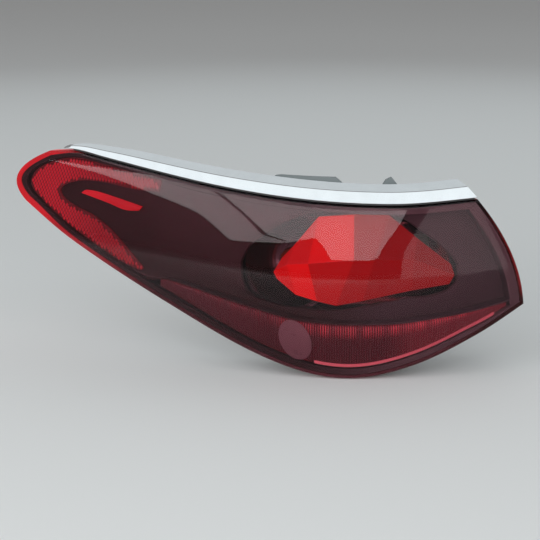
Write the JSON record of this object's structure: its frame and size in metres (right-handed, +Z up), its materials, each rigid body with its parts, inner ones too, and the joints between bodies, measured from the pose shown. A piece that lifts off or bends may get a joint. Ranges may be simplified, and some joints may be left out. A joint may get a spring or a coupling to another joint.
{
  "type": "tail light cluster",
  "caption": "Smoked red rear lamp of a car that wraps round the corner of the body, with a faceted stop light, a side reflector, a fluted tail band and a bright trim strip along its top.",
  "frame": {"origin": "where the axis of the upper stud meets the flat back of the housing, on which the lamp seats against the car", "axes": "+Y to the front of the car along the studs, +X to the car's middle, +Z up"},
  "size_m": [0.2538, 0.3893, 0.1664],
  "materials": {
    "smoked_lens": "polished smoked acrylic",
    "sealant": "matte sealing bead",
    "housing_black": "moulded, fine grain",
    "frame_grey": "satin moulded",
    "bezel_dark": "dark metallised",
    "reflex_red": "honeycomb of prisms",
    "marker_red": "clear red moulded",
    "board_green": "lacquered circuit board",
    "chip_white": "light chip",
    "band_red": "fluted clear red",
    "rod_red": "polished red rod",
    "oval_clear": "clear moulded",
    "tray_white": "white reflecting",
    "bowl_bright": "metallised plastic",
    "bulb_amber": "amber glass",
    "bulb_clear": "clear glass",
    "holder_grey": "moulded",
    "seal_black": "matte",
    "jewel_red": "polished clear red facets",
    "sink_aluminium": "as cast",
    "screw_steel": "zinc plated",
    "trim_chrome": "mirror polished",
    "carrier_grey": "moulded, smooth",
    "pin_plastic": "natural moulded",
    "foam_black": "closed-cell foam",
    "connector_black": "moulded",
    "pin_brass": "tinned"
  },
  "bodies": {
    "root": {"outer_lens": "smoked_lens", "lens_seal": "sealant", "rear_housing": "housing_black", "lens_frame": "frame_grey", "inner_bezel": "bezel_dark", "side_reflex": "reflex_red", "marker_bar": "marker_red", "marker_led_board": "board_green", "marker_leds": "chip_white", "tail_band": "band_red", "guide_rod": "rod_red", "fog_lens": "oval_clear", "tail_reflector": "tray_white", "tail_led_boards": "board_green", "tail_leds": "chip_white", "turn_bowl": "bowl_bright", "turn_bulb": "bulb_amber", "turn_bulb_holder": "holder_grey", "reverse_bulb": "bulb_clear", "reverse_bulb_holder": "holder_grey", "holder_seals": "seal_black", "stop_jewel": "jewel_red", "stop_reflector": "bowl_bright", "stop_led_board": "board_green", "stop_leds": "chip_white", "heat_sink": "sink_aluminium", "heat_sink_screws": "screw_steel", "chrome_trim": "trim_chrome", "trim_seal": "seal_black", "trim_carrier": "carrier_grey", "mounting_studs": "screw_steel", "locating_pin": "pin_plastic", "body_gasket": "foam_black", "wiring_connector": "connector_black", "connector_pins": "pin_brass", "vent_cap": "holder_grey"}
  },
  "joints": []
}
